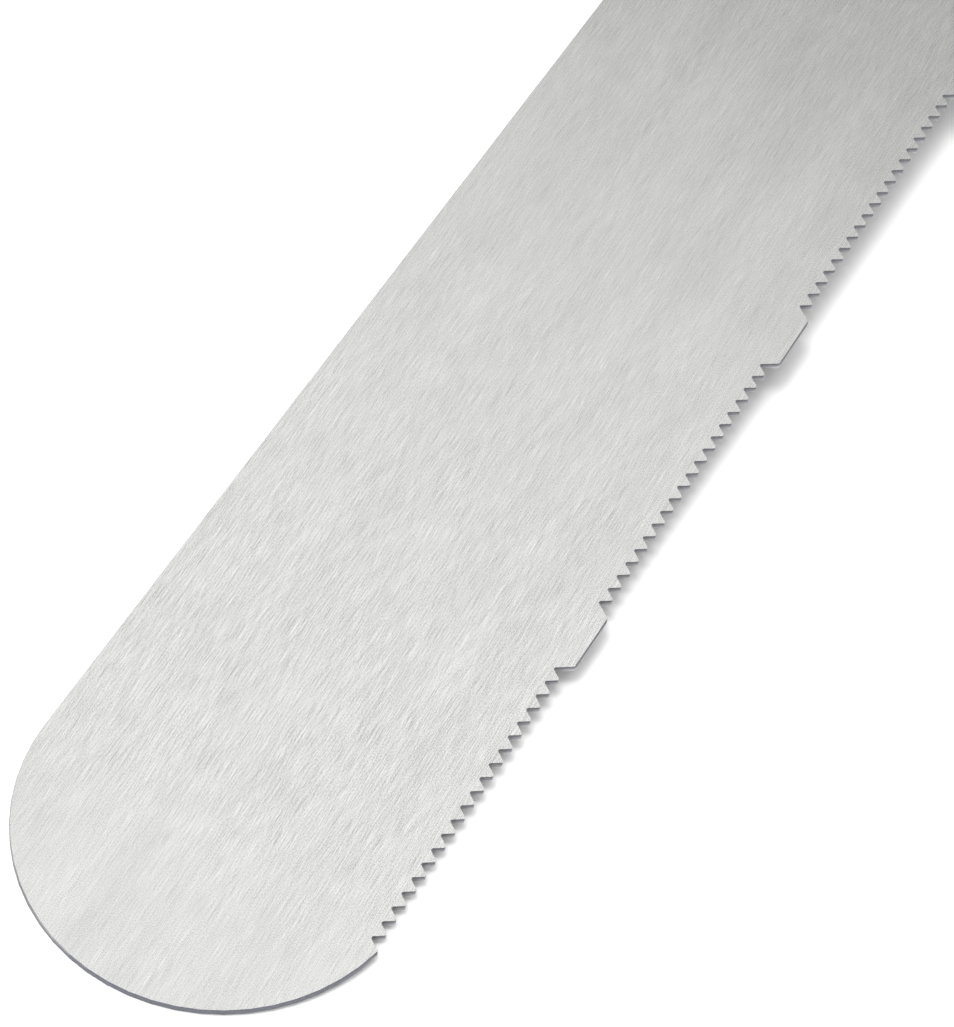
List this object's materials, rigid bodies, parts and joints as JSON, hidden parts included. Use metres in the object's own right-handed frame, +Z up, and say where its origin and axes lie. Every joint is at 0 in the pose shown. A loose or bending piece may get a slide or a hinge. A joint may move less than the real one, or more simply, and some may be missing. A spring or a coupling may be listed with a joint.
{
  "type": "clay modeling tool",
  "caption": "Long flexible round-tipped steel modelling blade with one plain and one toothed edge, full tang, riveted wooden handle and a brass hanging tube.",
  "frame": {"origin": "under the middle of the tool: half way from the blade's tip to the handle's end, midway between the plain edge and the toothed edge's lands, at the height of the handle's underside", "axes": "+X from the blade's tip to the handle's end, +Y from the toothed edge to the plain edge, +Z up, square to the flat of the blade"},
  "size_m": [0.285, 0.0324, 0.02],
  "materials": {
    "blade_steel": "fine brushed along the blade",
    "handle_wood": "oiled satin",
    "rivet_brass": "ground flush",
    "tube_brass": "satin"
  },
  "bodies": {
    "root": {"blade": "blade_steel", "handle_scale_top": "handle_wood", "handle_scale_bottom": "handle_wood", "rivet_front_barrel": "rivet_brass", "rivet_front_pin": "rivet_brass", "rivet_middle_barrel": "rivet_brass", "rivet_middle_pin": "rivet_brass", "rivet_rear_barrel": "rivet_brass", "rivet_rear_pin": "rivet_brass", "hanging_tube": "tube_brass"}
  },
  "joints": []
}
